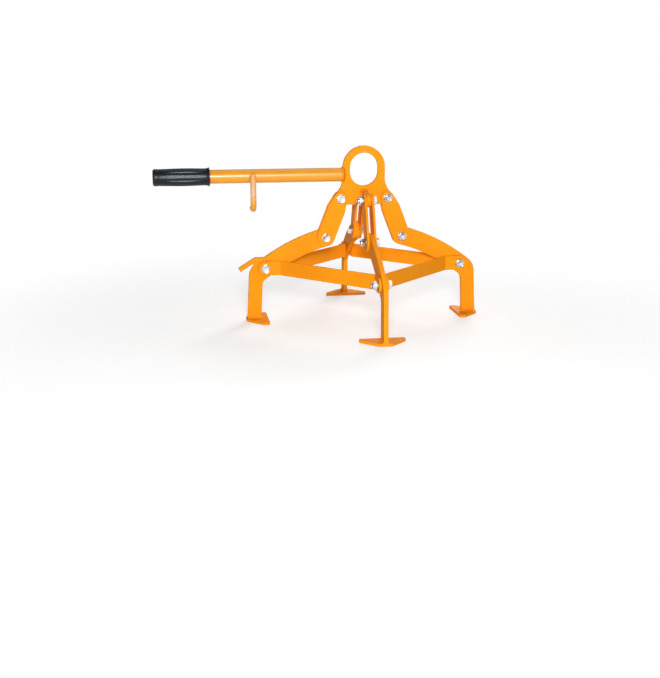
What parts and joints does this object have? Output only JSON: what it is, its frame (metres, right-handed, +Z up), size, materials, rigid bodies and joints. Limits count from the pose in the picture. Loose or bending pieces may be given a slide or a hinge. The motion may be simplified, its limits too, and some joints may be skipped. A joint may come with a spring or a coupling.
{
  "type": "drum lifter",
  "caption": "Drum lifter with a lifting eye on links that close claw arms on a square frame, and a side handle with a latch hook that holds the claws open.",
  "frame": {"origin": "crown of the lifting eye, where the hoist's hook bears", "axes": "+Z up along the lifting axis, the handle points to -X, the latch hook is on the -Y side of the tube"},
  "size_m": [0.727, 0.531, 0.3862],
  "materials": {
    "orange_paint": "glossy powder coat",
    "zinc_steel": "bright zinc plate",
    "black_grip": "satin soft grip"
  },
  "bodies": {
    "head": {"eye_plate": "orange_paint", "front_lug": "orange_paint", "rear_lug": "orange_paint", "handle_tube": "orange_paint", "handle_grip": "black_grip", "latch_hook": "orange_paint", "head_bolts": "zinc_steel", "head_nuts": "zinc_steel", "head_washers": "zinc_steel"},
    "frame": {"right_rear_bar": "orange_paint", "rear_left_bar": "orange_paint", "left_front_bar": "orange_paint", "front_right_bar": "orange_paint", "frame_bolts": "zinc_steel", "frame_nuts": "zinc_steel", "frame_washers": "zinc_steel"},
    "right_arm": {"right_arm": "orange_paint", "right_foot": "orange_paint"},
    "right_link": {"right_link_front_bar": "orange_paint", "right_link_rear_bar": "orange_paint", "right_arm_bolt": "zinc_steel", "right_arm_nut": "zinc_steel", "right_arm_washers": "zinc_steel"},
    "rear_arm": {"rear_arm": "orange_paint", "rear_foot": "orange_paint"},
    "rear_link": {"rear_link_right_bar": "orange_paint", "rear_link_left_bar": "orange_paint", "rear_arm_bolt": "zinc_steel", "rear_arm_nut": "zinc_steel", "rear_arm_washers": "zinc_steel"},
    "left_arm": {"left_arm": "orange_paint", "left_foot": "orange_paint"},
    "left_link": {"left_link_rear_bar": "orange_paint", "left_link_front_bar": "orange_paint", "left_arm_bolt": "zinc_steel", "left_arm_nut": "zinc_steel", "left_arm_washers": "zinc_steel"},
    "front_arm": {"front_arm": "orange_paint", "front_foot": "orange_paint"},
    "front_link": {"front_link_left_bar": "orange_paint", "front_link_right_bar": "orange_paint", "front_arm_bolt": "zinc_steel", "front_arm_nut": "zinc_steel", "front_arm_washers": "zinc_steel"}
  },
  "joints": [
    {"name": "frame_slide", "type": "slide", "parent": "head", "child": "frame", "axis": [0, 0, 1], "range_m": [0, 0.09]},
    {"name": "right_arm_swing", "type": "hinge", "parent": "frame", "child": "right_arm", "pos_m": [0.222, 0, -0.25122], "axis": [0, -1, 0], "range_deg": [0, 36.8]},
    {"name": "right_link_swing", "type": "hinge", "parent": "head", "child": "right_link", "pos_m": [0.0525, 0, -0.099], "axis": [0, 1, 0], "range_deg": [0, 8.2]},
    {"name": "rear_arm_swing", "type": "hinge", "parent": "frame", "child": "rear_arm", "pos_m": [0, 0.222, -0.25122], "axis": [1, 0, 0], "range_deg": [0, 36.8]},
    {"name": "rear_link_swing", "type": "hinge", "parent": "head", "child": "rear_link", "pos_m": [0, 0.0525, -0.099], "axis": [-1, 0, 0], "range_deg": [0, 8.2]},
    {"name": "left_arm_swing", "type": "hinge", "parent": "frame", "child": "left_arm", "pos_m": [-0.222, 0, -0.25122], "axis": [0, 1, 0], "range_deg": [0, 36.8]},
    {"name": "left_link_swing", "type": "hinge", "parent": "head", "child": "left_link", "pos_m": [-0.0525, 0, -0.099], "axis": [0, -1, 0], "range_deg": [0, 8.2]},
    {"name": "front_arm_swing", "type": "hinge", "parent": "frame", "child": "front_arm", "pos_m": [0, -0.222, -0.25122], "axis": [-1, 0, 0], "range_deg": [0, 36.8]},
    {"name": "front_link_swing", "type": "hinge", "parent": "head", "child": "front_link", "pos_m": [0, -0.0525, -0.099], "axis": [1, 0, 0], "range_deg": [0, 8.2]}
  ],
  "couplings": [
    {"joint": "right_arm_swing", "follows": "frame_slide", "rad_per_m": 7.1268},
    {"joint": "right_link_swing", "follows": "frame_slide", "rad_per_m": 1.5824},
    {"joint": "rear_arm_swing", "follows": "frame_slide", "rad_per_m": 7.1268},
    {"joint": "rear_link_swing", "follows": "frame_slide", "rad_per_m": 1.5824},
    {"joint": "left_arm_swing", "follows": "frame_slide", "rad_per_m": 7.1268},
    {"joint": "left_link_swing", "follows": "frame_slide", "rad_per_m": 1.5824},
    {"joint": "front_arm_swing", "follows": "frame_slide", "rad_per_m": 7.1268},
    {"joint": "front_link_swing", "follows": "frame_slide", "rad_per_m": 1.5824}
  ]
}
